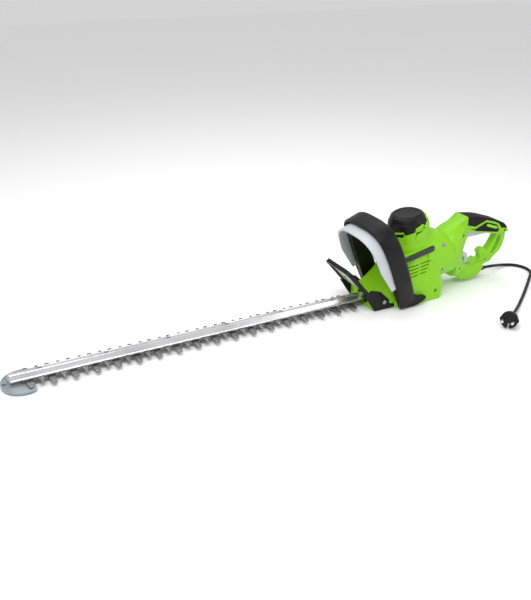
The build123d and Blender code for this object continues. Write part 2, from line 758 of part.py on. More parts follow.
def guard_frame():
    outer = guard_face(GUARD_HALF, 0, GUARD_H, 16)
    inner = guard_face(GUARD_HALF - GUARD_BORDER, 28, GUARD_H - GUARD_BORDER, 9)
    frame = extrude(guard_plane(-GUARD_T) * (outer - inner), amount=GUARD_T)
    passage = box(-150, -20, -43.5, 43.5, -20, 42)
    frame -= passage
    for side in (-1, 1):
        y0, y1 = (43.9, 47.0) if side > 0 else (-47.0, -43.9)
        plate = side_prism(guard_side(), y0, y1)
        frame += plate
    frame &= box(-300, 0, -60, 60, 0.8, 300)
    frame -= body_clear()
    for side in (-1, 1):
        x, z = GUARD_SCREW
        frame -= cylinder_between((x, side * 30, z), (x, side * 60, z), 2.1)
    return frame


def body_clear():
    """The housing's nose with a little clearance, cut from what sits against it."""
    return body_shell(-0.3) & box(-130, 0, -60, 60, 0.5, 70)


def guard_window():
    pane = guard_face(GUARD_HALF - GUARD_BORDER, 28, GUARD_H - GUARD_BORDER, 9)
    window = extrude(guard_plane(-GUARD_T / 2 - 1.0) * pane, amount=2.0)
    return window - box(-150, -20, -60, 60, -20, 43)


def guard_screws():
    group = []
    x, z = GUARD_SCREW
    for side in (-1, 1):
        screw = cylinder_between((x, side * 47.05, z), (x, side * 49.2, z), 4.2)
        screw -= Pos(x, side * 49.2, z) * Box(5.4, 2.0, 1.1)
        screw -= Pos(x, side * 49.2, z) * Box(1.1, 2.0, 5.4)
        group.append(screw)
    return group


# ---- rear handle --------------------------------------------------------------------------------------------
def handle_outline():
    """The outer side view of the D-shaped handle, from the ring round to the cord's exit."""
    neck = Line((128, 128), GRIP_TOP[0])
    top = Spline(*GRIP_TOP, tangents=[(0.97, -0.22), (0.85, -0.5)])
    rear = Spline(
        GRIP_TOP[-1], (288, 113), (294.5, 94), (293, 74), (284, 56), (264, 40), (238, 29.5),
        tangents=[(0.85, -0.5), (-1, -0.2)],
    )
    heel = Polyline((238, 29.5), (230, 24), (221, 12))
    bottom = Spline((221, 12), (200, 7.5), (178, 9), (152, 26), tangents=[(-0.9, -0.3), (-0.6, 0.65)])
    close = Line((152, 26), (128, 128))
    return Plane.XZ * make_face([neck, top, rear, heel, bottom, close])


def loop_outline():
    """The finger opening of the handle."""
    edge = Spline(
        (176, 122), (168, 108), (158, 92), (158, 70), (169, 51), (196, 40), (226, 44), (248, 62), (262, 83),
        (268, 101),
        tangents=[(-0.5, -1), (0.05, 1)],
    )
    return Plane.XZ * make_face([edge, Line((268, 101), (176, 122))])


def slot_outline():
    """The long hole in the handle's rear bow, for hanging the trimmer up or tying the cord back."""
    return [(275, 93), (283, 91), (282.5, 76), (274, 60), (264, 52), (258.5, 54), (268, 72)]


def handle_form():
    """The rear handle's outer form: a full-width grip and fork with a slimmer bow behind."""
    outline = handle_outline()
    wide = extrude(outline, amount=GRIP_HALF, both=True)
    wide = try_fillet(wide, wide.edges().filter_by(Axis.Y, reverse=True), 7.5)
    wide -= side_prism(BOW_REGION, BOW_HALF, 60) + side_prism(BOW_REGION, -60, -BOW_HALF)
    fork = loft(
        [
            rounded_section(swivel_plane(0.6), RING_R - 0.5, RING_R - 0.5, 60),
            rounded_section(x_plane(156, 82), 31, 64, 28),
            rounded_section(x_plane(182, 82), GRIP_HALF - 0.5, 58, 14),
        ]
    )
    form = wide + (fork & side_prism(FORK_REGION, -60, 60))
    form -= extrude(loop_outline(), amount=80, both=True)
    form += side_prism(HOOK_OUTLINE, -BOW_HALF + 1, BOW_HALF - 1)
    return form - side_prism(slot_outline(), -40, 40)


def grip_cavity():
    """The hollow in the grip for the switch and trigger, and the fork's hollow for the leads."""
    outline = [(160, 146), (176, 147.5), (206, 142), (246, 130), (262, 122), (252, 110), (180, 127), (160, 118)]
    grip = side_prism(outline, -GRIP_HALF + GRIP_WALL, GRIP_HALF - GRIP_WALL)
    fork = loft(
        [
            rounded_section(swivel_plane(-4), RING_R - 14, RING_R - 14, 60),
            rounded_section(x_plane(150, 80), 24, 40, 20),
        ]
    )
    heel = side_prism([(152, 44), (186, 32), (220, 26), (216, 14), (190, 12), (170, 20), (150, 32)], -13, 13)
    return grip + fork + heel


def hub():
    """The hollow trunnion that turns in the housing's rear wall, with its retaining lip."""
    tube = extrude(swivel_plane(-14) * Circle(HUB_R), amount=16.0)
    lip = extrude(swivel_plane(-14) * Circle(HUB_R + 4), amount=4.0)
    bore = extrude(swivel_plane(-20) * Circle(HUB_R - 4), amount=26.0)
    return tube + lip - bore


def rear_handle_whole():
    form = handle_form()
    pad_region = grip_pad_region()
    shell = form - pad_region
    shell += grip_core()
    shell += hub()
    shell -= grip_cavity()
    shell -= trigger_window() + switch_pocket()
    x, z = TRIGGER_PIVOT
    shell -= cylinder_between((x, -14.8, z), (x, 14.8, z), 2.0)
    shell -= bushing_seat()
    shell -= lock_window()
    for x, z in handle_screw_points():
        half = BOW_HALF if x > 225 else GRIP_HALF
        shell += cylinder_between((x, -half + 1, z), (x, half - 1, z), 4.4)
        shell -= cylinder_between((x, -40, z), (x, 40, z), 1.9)
        shell -= cylinder_between((x, -40, z), (x, -half + 3.4, z), 3.6)
    return shell


def handle_screw_points():
    return [(152.0, 121.0), (151.0, 46.0), (244.0, 41.0), (283.0, 107.0)]


def rear_handle_screws():
    group = []
    for x, z in handle_screw_points():
        half = BOW_HALF if x > 225 else GRIP_HALF
        seat = half - 3.4
        screw = cylinder_between((x, -seat - 2.2, z), (x, -seat, z), 3.4)
        screw += cylinder_between((x, -seat, z), (x, half - 3.0, z), 1.8)
        screw -= Pos(x, -seat - 2.2, z) * Box(4.6, 2.2, 1.0)
        screw -= Pos(x, -seat - 2.2, z) * Box(1.0, 2.2, 4.6)
        group.append(screw)
    return group


def trigger_window():
    """The slot that the trigger swings in, with room for it when pressed."""
    outline = [
        (177, 139), (176, 104), (186, 99), (257, 101), (265, 105), (271, 113), (269, 123.5), (252, 124.5),
        (238, 127),
    ]
    return side_prism(outline, -6.8, 6.8)


def trigger():
    """A long wedge-shaped trigger, hinged at its rear end."""
    outline = [
        (179.5, 127), (178.5, 107), (186, 102.5), (255, 104.5), (262, 108), (268, 113), (266, 120), (256, 121),
        (250, 113.5), (196, 124),
    ]
    body = side_prism(outline, -6.4, 6.4)
    body = try_fillet(body, body.edges().filter_by(Axis.Y), 1.2)
    x, z = TRIGGER_PIVOT
    return body - cylinder_between((x, -10, z), (x, 10, z), 2.05)


def trigger_pin():
    x, z = TRIGGER_PIVOT
    return cylinder_between((x, -14.8, z), (x, 14.8, z), 2.0)


def trigger_switch():
    """The mains switch above the trigger, with its plunger."""
    return box(210, 234, -8, 8, 127.5, 134) + box(224, 230, -3, 3, 122.3, 127.5)


def switch_pocket():
    return box(209.8, 234.2, -8.2, 8.2, 120, 134.2)


def trigger_spring():
    coil = Helix(pitch=2.0, height=7.0, radius=2.4)
    wire = sweep(Plane(origin=coil @ 0, z_dir=coil % 0) * Circle(0.4), path=coil)
    return Pos(242, 0, 116.2) * wire


def lock_window():
    """The way that the lock lever slides in, with its pull of travel behind it."""
    outline = [
        (148, 64), (156, 70), (168, 73), (202, 74), (203, 60), (201, 38), (170, 40), (157, 48), (148, 52),
    ]
    return side_prism(outline, -8.8, 8.8)


def lock_lever():
    """The finger pull that frees the swivel: a ring-shaped handle on a slide, with a bolt in front."""
    outline = [(157, 66), (161, 52), (171, 45.5), (190, 42.0), (193, 47), (190, 66), (181, 69)]
    body = side_prism(outline, -8.5, 8.5)
    body = try_fillet(body, body.edges().filter_by(Axis.Y), 2.0)
    hole = side_prism([(167, 60), (170, 52), (183, 48.5), (184, 56), (178, 62)], -12, 12)
    tail = box(150, 163, -5, 5, 55, 61)
    return body + tail - hole


def grip_pad_region():
    """What lies above the zigzag stripe on the grip: the soft overmould's share of the form."""
    outline = [
        (171, 175), (173, 136), (195, 129.5), (225, 140), (244, 134), (261, 127), (272, 114), (300, 110),
        (310, 112), (290, 160),
    ]
    return side_prism(outline, -40, 40)


def grip_core():
    """The hard inner skin that the overmould wraps."""
    outline = [(170, 151), (207, 145.5), (247, 133), (273, 122), (284, 108), (270, 109), (258, 120), (170, 124)]
    return side_prism(outline, -GRIP_HALF + 2.2, GRIP_HALF - 2.2)


def grip_overmould():
    return (handle_form() & grip_pad_region()) - grip_core()


def lower_grip_pads():
    """Soft inserts on both sides of the grip below the stripe."""
    group = []
    outline = [
        (184, 126), (195, 123.5), (225, 134.5), (243, 129.5), (257, 123.5), (263, 113), (263, 107), (255, 108),
        (200, 119),
    ]
    for side in (-1, 1):
        y0, y1 = (GRIP_HALF, GRIP_HALF + 1.0) if side > 0 else (-GRIP_HALF - 1.0, -GRIP_HALF)
        group.append(side_prism(outline, y0, y1))
    return group


def bushing_seat():
    start, after = Vector(*CORD_ROUTE[0]), Vector(*CORD_ROUTE[1])
    tip = Plane(origin=start, z_dir=(after - start).normalized())
    seat = extrude(tip.offset(-48) * Circle(BUSH_R + 0.1), amount=36)
    return seat + extrude(tip.offset(-41.2) * Circle(BUSH_R + 2.1), amount=3.4)


def cord_bushing():
    """The strain relief: a flanged root in the handle and a ringed cone along the cord's first run."""
    start, after = Vector(*CORD_ROUTE[0]), Vector(*CORD_ROUTE[1])
    tip = Plane(origin=start, z_dir=(after - start).normalized())
    body = extrude(tip.offset(-46) * Circle(BUSH_R), amount=22)
    body += extrude(tip.offset(-41) * Circle(BUSH_R + 2), amount=3)
    body += loft([tip.offset(-24) * Circle(5.8), tip * Circle(4.3)])
    for i in range(4):
        body += extrude(tip.offset(-22 + 5 * i) * Circle(6.3 - 0.35 * i), amount=2)
    return body


# ---- cord and plug -------------------------------------------------------------------------------------------
def route_radii():
    """Each corner's arc: 0.45 of the shorter run over the tangent of half the turn."""
    points = [Vector(*p) for p in CORD_ROUTE]
    radii = []
    for before, here, after in zip(points, points[1:], points[2:]):
        run_in, run_out = here - before, after - here
        turn = math.radians(run_in.get_angle(run_out))
        radii.append(0.45 * min(run_in.length, run_out.length) / math.tan(turn / 2))
    return radii


def cord():
    radii = route_radii()
    print("cord radii", [round(r, 1) for r in radii])
    path = FilletPolyline(*CORD_ROUTE, radius=radii)
    start = Plane(origin=path @ 0, z_dir=path % 0)
    tube = sweep(start * Circle(CORD_D / 2), path=path)
    section = math.pi * CORD_D ** 2 / 4
    print("cord length", round(path.length, 1), "volume ratio", round(tube.volume / (section * path.length), 4))
    return tube


def plug_plane():
    """The plug's face, its normal along the pins; the plug lies on its rim, in line with the cord's end."""
    before, neck = Vector(*CORD_ROUTE[-2]), Vector(*CORD_ROUTE[-1])
    axis = (neck - before).normalized()
    side = Vector(-axis.Y, axis.X, 0).normalized()
    return Plane(origin=neck + axis * PLUG_LEN, x_dir=side, z_dir=axis)


def plug_body():
    """A round contour plug: a thick notched disc, a fluted grip and a tapered neck."""
    face = plug_plane()
    disc = extrude(face * Circle(PLUG_R), amount=-9.0)
    rim = extrude(face.offset(-2) * RectangleRounded(2 * PLUG_R + 3, 8, 3), amount=-6.0)
    sizes = [(-8.5, 13.5), (-24.0, 9.5), (-31.0, 6.6)]
    grip = loft([face.offset(along) * Circle(radius) for along, radius in sizes])
    neck = loft([face.offset(-30.5) * Circle(6.6), face.offset(-PLUG_LEN) * Circle(4.2)])
    body = disc + rim + grip + neck
    notch = extrude(face.offset(1) * (Pos(0, -12.5) * RectangleRounded(4.8, 13, 2.3)), amount=-18)
    body -= notch
    for side in (-1, 1):
        root = face * Pos(side * PLUG_PIN_GAP / 2, 0) * Circle(PLUG_ROOT_R)
        body -= extrude(root, amount=-6.0)
    return body


def plug_pins():
    face = plug_plane()
    group = []
    for side in (-1, 1):
        place = Pos(side * PLUG_PIN_GAP / 2, 0)
        root = extrude(face.offset(-6) * place * Circle(PLUG_ROOT_R), amount=7)
        pin = extrude(face.offset(PLUG_STEP) * place * Circle(PLUG_PIN_R), amount=PLUG_PIN_LEN - PLUG_STEP)
        group.append(root + pin)
    return group


# ---- writing the parts ------------------------------------------------------------------------------------------
LEFT = box(-400, 400, -200, -SEAM / 2, -50, 400)
RIGHT = box(-400, 400, SEAM / 2, 200, -50, 400)


def write(name, shape):
    solids = shape if isinstance(shape, list) else [shape]
    bodies = [solid for piece in solids for solid in piece.solids()]
    export_step(Compound(children=bodies) if len(bodies) > 1 else bodies[0], f"parts/{name}.step")


def main():
    os.makedirs("parts", exist_ok=True)
    for old in os.listdir("parts"):
        os.remove(os.path.join("parts", old))
    housing = housing_whole()
    write("housing_left", housing & LEFT)
    write("housing_right", housing & RIGHT)
    handle = rear_handle_whole()
    write("rear_handle_left", handle & LEFT)
    write("rear_handle_right", handle & RIGHT)
    makers = [
        lower_blade, upper_blade, blade_bar, blade_bolts, tip_guard, drive_gear, gearbox_base, gear_shaft,
        gearbox_cover, gearbox_screws, armature_shaft, armature_core, commutator, cooling_fan, lower_bearing,
        upper_bearing, stator, field_windings, brush_holders, carbon_brushes, housing_screws, motor_cap,
        brand_plate, front_handle, handle_spacers, handle_screws, front_switch_lever, guard_frame,
        guard_window, guard_screws, rear_handle_screws, trigger, trigger_pin, trigger_switch, trigger_spring,
        lock_lever, grip_overmould, lower_grip_pads, cord_bushing, cord, plug_body, plug_pins,
    ]
    for make in makers:
        write(make.__name__, make())


main()
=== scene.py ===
import json
import math
import bmesh
import bpy
from mathutils import Matrix, Vector


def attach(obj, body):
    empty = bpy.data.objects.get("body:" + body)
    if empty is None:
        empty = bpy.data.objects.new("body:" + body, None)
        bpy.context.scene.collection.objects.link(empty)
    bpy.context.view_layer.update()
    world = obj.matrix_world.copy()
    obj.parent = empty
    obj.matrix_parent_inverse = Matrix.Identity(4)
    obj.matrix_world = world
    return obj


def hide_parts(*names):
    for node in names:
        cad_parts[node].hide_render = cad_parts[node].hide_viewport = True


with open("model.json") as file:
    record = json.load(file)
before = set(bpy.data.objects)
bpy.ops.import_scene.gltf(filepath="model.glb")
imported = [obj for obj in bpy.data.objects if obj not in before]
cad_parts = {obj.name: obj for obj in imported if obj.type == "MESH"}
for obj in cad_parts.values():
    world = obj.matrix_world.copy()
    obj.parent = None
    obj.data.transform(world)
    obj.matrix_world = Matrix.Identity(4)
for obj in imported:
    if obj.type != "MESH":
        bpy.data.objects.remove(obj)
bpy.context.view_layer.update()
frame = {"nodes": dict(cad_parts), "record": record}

NODES = frame["nodes"]
MM = 0.001

# ---- driving sizes, in metres, as in the CAD model ----------------------------------------------
DISC_X, DISC_Z, MOTOR_TILT = 0.0215, 0.1844, math.radians(8.5)
BAIL_LEAN = math.radians(22.0)
BAIL_FOOT = Vector((-0.008, 0, 0.012))
BAIL_HALF, BAIL_H, BAIL_THICK, BAIL_DEPTH = 0.079, 0.187, 0.024, 0.040
FOOT_INNER, FOOT_OUTER = 0.0575, 0.0665
GROOVE_LOW = 0.05087
CORD_D = 0.0064
CORD_Z = 0.0033
CORD_ROUTE = [
    (0.2530, 0.0, 0.0160),
    (0.2750, 0.0, 0.0153),
    (0.2960, 0.0050, 0.0105),
    (0.3210, 0.0130, 0.0040),
    (0.3465, 0.0042, CORD_Z),
    (0.3602, -0.0191, CORD_Z),
    (0.3555, -0.0457, CORD_Z),
    (0.3300, -0.0667, CORD_Z),
    (0.2948, -0.0947, CORD_Z),
    (0.2591, -0.1221, CORD_Z),
    (0.2237, -0.1483, CORD_Z),
    (0.1895, -0.1727, 0.0043),
    (0.1567, -0.1956, 0.0106),
]


# ---- camera, light and floor ----------------------------------------------------------------------
CAMERA_PLACE = (-0.88806, -1.14076, 0.68612)
CAMERA_TURN, CAMERA_DOWN = math.radians(26.92), math.radians(26.14)
CAMERA_LENS, CAMERA_SHIFT = 44.2, 0.0045
WORLD_LIGHT = 0.66
FLOOR_HALF, FLOOR_Z = 6.0, -0.0005


def make_camera():
    turn, down = CAMERA_TURN, CAMERA_DOWN
    right = Vector((math.cos(turn), -math.sin(turn), 0))
    up = Vector((math.sin(down) * math.sin(turn), math.sin(down) * math.cos(turn), math.cos(down)))
    back = right.cross(up)
    data = bpy.data.cameras.new("camera")
    data.sensor_width = 36.0
    data.lens = CAMERA_LENS
    data.shift_x = CAMERA_SHIFT
    data.clip_start = 0.05
    camera = bpy.data.objects.new("camera", data)
    turned = Matrix((right, up, back)).transposed().to_4x4()
    camera.matrix_world = Matrix.Translation(CAMERA_PLACE) @ turned
    bpy.context.scene.collection.objects.link(camera)
    bpy.context.scene.camera = camera


def area_light(name, place, target, size, watts):
    data = bpy.data.lights.new(name, "AREA")
    data.shape = "RECTANGLE"
    data.size, data.size_y = size
    data.energy = watts
    lamp = bpy.data.objects.new(name, data)
    lamp.location = place
    lamp.rotation_euler = (Vector(target) - Vector(place)).to_track_quat("-Z", "Y").to_euler()
    bpy.context.scene.collection.objects.link(lamp)


def make_studio():
    world = bpy.data.worlds.new("studio")
    bpy.context.scene.world = world
    world.use_nodes = True
    backdrop = world.node_tree.nodes["Background"]
    backdrop.inputs["Color"].default_value = (1.0, 1.0, 1.0, 1.0)
    backdrop.inputs["Strength"].default_value = WORLD_LIGHT
    area_light("key", (-0.9, -0.7, 1.5), (-0.1, 0.0, 0.05), (1.2, 0.8), 17.0)
    area_light("fill", (1.2, -1.4, 0.9), (0.1, 0.0, 0.1), (1.0, 1.0), 6.0)
    area_light("top", (0.0, 0.6, 1.6), (0.0, 0.0, 0.0), (1.6, 1.0), 9.0)
    corners = [(x * FLOOR_HALF, y * FLOOR_HALF, FLOOR_Z) for x, y in ((-1, -1), (1, -1), (1, 1), (-1, 1))]
    mesh = bpy.data.meshes.new("floor")
    mesh.from_pydata(corners, [], [(0, 1, 2, 3)])
    floor = bpy.data.objects.new("floor", mesh)
    bpy.context.scene.collection.objects.link(floor)
    floor.data.materials.append(plain_floor())


# ---- materials --------------------------------------------------------------------------------------
class Paint:
    """A Principled material whose colour, roughness and relief vary over the surface."""

    def __init__(self, name, colour, roughness, metallic=0.0):
        self.material = bpy.data.materials.new(name)
        self.material.use_nodes = True
        self.nodes = self.material.node_tree.nodes
        self.links = self.material.node_tree.links
        self.shader = self.nodes["Principled BSDF"]
        self.shader.inputs["Base Color"].default_value = (*colour, 1.0)
        self.shader.inputs["Roughness"].default_value = roughness
        self.shader.inputs["Metallic"].default_value = metallic
        self.colour, self.roughness = colour, roughness
        self.normal = None

    def position(self, stretch=(1.0, 1.0, 1.0)):
        where = self.nodes.new("ShaderNodeTexCoord")
        mapping = self.nodes.new("ShaderNodeMapping")
        mapping.inputs["Scale"].default_value = stretch
        self.links.new(where.outputs["Object"], mapping.inputs["Vector"])
        return mapping.outputs["Vector"]

    def noise(self, scale, detail=3.0, stretch=(1.0, 1.0, 1.0)):
        node = self.nodes.new("ShaderNodeTexNoise")
        node.inputs["Scale"].default_value = scale
        node.inputs["Detail"].default_value = detail
        self.links.new(self.position(stretch), node.inputs["Vector"])
        return node.outputs["Fac"]

    def cells(self, scale):
        node = self.nodes.new("ShaderNodeTexVoronoi")
        node.inputs["Scale"].default_value = scale
        self.links.new(self.position(), node.inputs["Vector"])
        return node.outputs["Distance"]

    def ramp(self, source, low, high):
        node = self.nodes.new("ShaderNodeMapRange")
        node.inputs["From Min"].default_value = 0.3
        node.inputs["From Max"].default_value = 0.7
        node.inputs["To Min"].default_value = low
        node.inputs["To Max"].default_value = high
        self.links.new(source, node.inputs["Value"])
        return node.outputs["Result"]

    def tint(self, source, spread=0.08):
        """Colour wanders a little lighter and darker."""
        node = self.nodes.new("ShaderNodeValToRGB")
        node.color_ramp.elements[0].position = 0.3
        node.color_ramp.elements[1].position = 0.7
        node.color_ramp.elements[0].color = (*[c * (1 - spread) for c in self.colour], 1.0)
        node.color_ramp.elements[1].color = (*[min(1.0, c * (1 + spread)) for c in self.colour], 1.0)
        self.links.new(source, node.inputs["Fac"])
        self.links.new(node.outputs["Color"], self.shader.inputs["Base Color"])
        return self

    def polish(self, source, spread=0.08):
        """Roughness wanders, as handling and moulding leave it."""
        value = self.ramp(source, self.roughness - spread, self.roughness + spread)
        self.links.new(value, self.shader.inputs["Roughness"])
        return self

    def relief(self, source, strength, depth):
        node = self.nodes.new("ShaderNodeBump")
        node.inputs["Strength"].default_value = strength
        node.inputs["Distance"].default_value = depth
        self.links.new(source, node.inputs["Height"])
        if self.normal:
            self.links.new(self.normal, node.inputs["Normal"])
        self.normal = node.outputs["Normal"]
        self.links.new(self.normal, self.shader.inputs["Normal"])
        return self

    def painted_edge_highlight(self, lighter, amount=0.5):
        """Convex edges are painted lighter: a painted highlight where light would catch them."""
        # painted highlight: Pointiness picks out convex edges and mixes in the lighter colour
        geometry = self.nodes.new("ShaderNodeNewGeometry")
        ramp = self.nodes.new("ShaderNodeMapRange")
        ramp.inputs["From Min"].default_value = 0.53
        ramp.inputs["From Max"].default_value = 0.62
        ramp.inputs["To Max"].default_value = amount
        self.links.new(geometry.outputs["Pointiness"], ramp.inputs["Value"])
        mix = self.nodes.new("ShaderNodeMix")
        mix.data_type = "RGBA"
        old = self.shader.inputs["Base Color"].links[0].from_socket
        self.links.new(ramp.outputs["Result"], mix.inputs["Factor"])
        self.links.new(old, mix.inputs["A"])
        mix.inputs["B"].default_value = (*lighter, 1.0)
        self.links.new(mix.outputs["Result"], self.shader.inputs["Base Color"])
        return self


def moulded(name, colour, roughness, grain=900.0, depth=0.0002, strength=0.25):
    """Injection-moulded plastic with a fine spark-eroded grain."""
    paint = Paint(name, colour, roughness)
    paint.tint(paint.noise(9.0), 0.05)
    paint.polish(paint.noise(35.0), 0.05)
    paint.relief(paint.noise(grain, 2.0), strength, depth)
    paint.relief(paint.noise(28.0, 1.0), 0.06, 0.002)
    return paint


def metal(name, colour, roughness, streak=(1.0, 30.0, 30.0), scale=120.0, depth=0.0001):
    """Metal with fine marks that run along the way it was drawn, ground or rolled."""
    paint = Paint(name, colour, roughness, metallic=1.0)
    paint.tint(paint.noise(14.0, 4.0), 0.12)
    paint.polish(paint.noise(scale, 4.0, streak), 0.10)
    paint.relief(paint.noise(scale, 4.0, streak), 0.2, depth)
    return paint


def plain_floor():
    paint = Paint("floor", (0.96, 0.96, 0.96), 0.75)
    paint.tint(paint.noise(2.0), 0.004)
    return paint.material


def green_plastic():
    paint = moulded("green_plastic", (0.225, 0.565, 0.003), 0.38, 1100.0, 0.00012, 0.12)
    paint.shader.inputs["Specular IOR Level"].default_value = 0.35
    paint.shader.inputs["Coat Weight"].default_value = 0.06
    paint.shader.inputs["Coat Roughness"].default_value = 0.15
    return paint.material


def black_plastic():
    paint = moulded("black_plastic", (0.006, 0.006, 0.006), 0.40, 1300.0, 0.00018, 0.3)
    paint.shader.inputs["Specular IOR Level"].default_value = 0.22
    return paint.material


def soft_rubber():
    paint = Paint("soft_rubber", (0.007, 0.007, 0.007), 0.62)
    paint.shader.inputs["Specular IOR Level"].default_value = 0.18
    paint.tint(paint.noise(20.0), 0.15)
    paint.polish(paint.noise(60.0), 0.06)
    paint.relief(paint.cells(900.0), 0.5, 0.0003)
    return paint.material


def grey_plastic():
    return moulded("grey_plastic", (0.50, 0.53, 0.56), 0.42, 1200.0, 0.00015, 0.2).material


def smoke_window():
    paint = Paint("smoke_window", (0.64, 0.61, 0.50), 0.22)
    paint.tint(paint.noise(12.0), 0.03)
    paint.polish(paint.noise(40.0), 0.05)
    paint.shader.inputs["Transmission Weight"].default_value = 0.55
    paint.shader.inputs["IOR"].default_value = 1.49
    return paint.material


def plate_gloss():
    paint = Paint("plate_gloss", (0.012, 0.030, 0.014), 0.18)
    paint.tint(paint.noise(30.0), 0.1)
    paint.polish(paint.noise(50.0), 0.04)
    return paint.material


def blade_steel():
    paint = metal("blade_steel", (0.19, 0.19, 0.19), 0.36, (4.0, 30.0, 4.0), 60.0)
    # painted highlight: the teeth's convex edges are painted a lighter grey
    paint.painted_edge_highlight((0.55, 0.55, 0.55), 0.6)
    return paint.material


def bar_alloy():
    return metal("bar_alloy", (0.80, 0.80, 0.81), 0.27, (0.4, 40.0, 40.0), 90.0, 0.00006).material


def guard_alloy():
    paint = Paint("guard_alloy", (0.27, 0.32, 0.34), 0.38, 0.35)
    paint.tint(paint.noise(30.0, 4.0), 0.1)
    paint.polish(paint.noise(90.0), 0.08)
    paint.relief(paint.noise(500.0, 3.0), 0.25, 0.0002)
    # painted highlight: the plate's convex edges are painted a lighter blue-grey
    paint.painted_edge_highlight((0.62, 0.66, 0.68), 0.7)
    return paint.material


def plated_screw():
    return metal("plated_screw", (0.42, 0.42, 0.43), 0.3, (10.0, 10.0, 10.0), 200.0).material


def machined_steel():
    return metal("machined_steel", (0.46, 0.46, 0.47), 0.28, (20.0, 20.0, 1.0), 120.0).material


def cast_alloy():
    paint = Paint("cast_alloy", (0.45, 0.46, 0.47), 0.55, 0.9)
    paint.tint(paint.noise(40.0, 5.0), 0.12)
    paint.relief(paint.noise(700.0, 4.0), 0.5, 0.0003)
    return paint.material


def laminated_core():
    paint = Paint("laminated_core", (0.22, 0.22, 0.23), 0.45, 0.8)
    paint.tint(paint.noise(300.0, 2.0, (0.05, 0.05, 3.0)), 0.25)
    paint.relief(paint.noise(300.0, 2.0, (0.05, 0.05, 3.0)), 0.4, 0.0003)
    return paint.material


def copper_wire():
    return metal("copper_wire", (0.72, 0.33, 0.16), 0.35, (1.0, 1.0, 12.0), 150.0, 0.0003).material


def bright_brass():
    return metal("bright_brass", (0.72, 0.54, 0.24), 0.28).material


def carbon():
    paint = Paint("carbon", (0.035, 0.035, 0.037), 0.6)
    paint.tint(paint.noise(250.0), 0.3)
    paint.relief(paint.noise(900.0), 0.3, 0.0002)
    return paint.material


def dark_moulding():
    return moulded("dark_moulding", (0.05, 0.05, 0.055), 0.5).material


def cord_rubber():
    paint = Paint("cord_rubber", (0.007, 0.007, 0.007), 0.48)
    paint.shader.inputs["Specular IOR Level"].default_value = 0.25
    paint.tint(paint.noise(60.0), 0.2)
    paint.polish(paint.noise(80.0), 0.07)
    paint.relief(paint.noise(700.0, 2.0), 0.25, 0.0002)
    return paint.material


def nickel():
    return metal("nickel", (0.80, 0.79, 0.74), 0.2, (6.0, 6.0, 6.0), 200.0).material


SLOT_MATERIALS = {
    "green_shell": green_plastic,
    "black_shell": black_plastic,
    "plate": plate_gloss,
    "grey_shell": grey_plastic,
    "smoke_window": smoke_window,
    "soft_grip": soft_rubber,
    "switch_body": dark_moulding,
    "blade_steel": blade_steel,
    "bar_alloy": bar_alloy,
    "guard_alloy": guard_alloy,
    "fastener": plated_screw,
    "gear_steel": machined_steel,
    "cast_alloy": cast_alloy,
    "core_steel": laminated_core,
    "copper": copper_wire,
    "brass": bright_brass,
    "carbon": carbon,
    "fan_plastic": dark_moulding,
    "cord_rubber": cord_rubber,
    "pin_brass": nickel,
}
MATERIALS = {slot: make() for slot, make in SLOT_MATERIALS.items()}
SLOT_OF = {part["node"]: part["material_slot"] for part in frame["record"]["subparts"]}


def dress_cad_nodes():
    """Every CAD node that stays gets its slot's full material."""
    for name, node in NODES.items():
        for place in node.material_slots:
            place.material = MATERIALS[SLOT_OF[name]]


# ---- pieces -------------------------------------------------------------------------------------------
def add_piece(name, mesh, body, slot, replaces=()):
    piece = bpy.data.objects.new(name, mesh)
    bpy.context.scene.collection.objects.link(piece)
    piece.data.materials.clear()
    piece.data.materials.append(MATERIALS[slot])
    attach(piece, body)
    if replaces:
        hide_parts(*replaces)
    return piece


def softened(node, body, width=0.0010, segments=2, angle=32.0):
    """A CAD node's own form with moulded, rounded edges instead of sharp ones."""
    mesh = NODES[node].data.copy()
    work = bmesh.new()
    work.from_mesh(mesh)
    bmesh.ops.remove_doubles(work, verts=work.verts, dist=0.00002)
    work.to_mesh(mesh)
    work.free()
    piece = add_piece(f"{node}_moulded", mesh, body, SLOT_OF[node], [node])
    bevel = piece.modifiers.new("rounding", "BEVEL")
    bevel.width = width
    bevel.segments = segments
    bevel.limit_method = "ANGLE"
    bevel.angle_limit = math.radians(angle)
    bevel.use_clamp_overlap = True
    bevel.harden_normals = True
    for face in mesh.polygons:
        face.use_smooth = True
    return piece


SOFTENED = [
    ("housing_left", "housing", 0.0012),
    ("housing_right", "housing", 0.0012),
    ("front_switch_lever", "front_lever", 0.0008),
    ("guard_frame", "housing", 0.0010),
    ("guard_window", "housing", 0.0003),
    ("blade_bar", "housing", 0.0004),
    ("tip_guard", "housing", 0.0006),
    ("lower_blade", "lower_blade_set", 0.0004),
    ("upper_blade", "upper_blade_set", 0.0004),
    ("rear_handle_left", "rear_handle", 0.0012),
    ("rear_handle_right", "rear_handle", 0.0012),
    ("grip_overmould", "rear_handle", 0.0008),
    ("lower_grip_pads", "rear_handle", 0.0004),
    ("trigger", "trigger", 0.0006),
    ("lock_lever", "lock_lever", 0.0008),
    ("brand_plate", "housing", 0.0004),
    ("cord_bushing", "rear_handle", 0.0003),
    ("plug_body", "rear_handle", 0.0006),
    ("plug_pins", "rear_handle", 0.0008),
]


def make_cord():
    """The supply cord: a round curve along the CAD tube's own route."""
    curve = bpy.data.curves.new("supply_cord", "CURVE")
    curve.dimensions = "3D"
    spline = curve.splines.new("NURBS")
    spline.points.add(len(CORD_ROUTE) - 1)
    for point, place in zip(spline.points, CORD_ROUTE):
        point.co = (*place, 1.0)
    spline.order_u = 3
    spline.use_endpoint_u = True
    spline.resolution_u = 12
    curve.bevel_depth = CORD_D / 2
    curve.bevel_resolution = 6
    curve.use_fill_caps = True
    curve.materials.append(MATERIALS["cord_rubber"])
    piece = bpy.data.objects.new("supply_cord", curve)
    bpy.context.scene.collection.objects.link(piece)
    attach(piece, "rear_handle")
    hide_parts("cord")


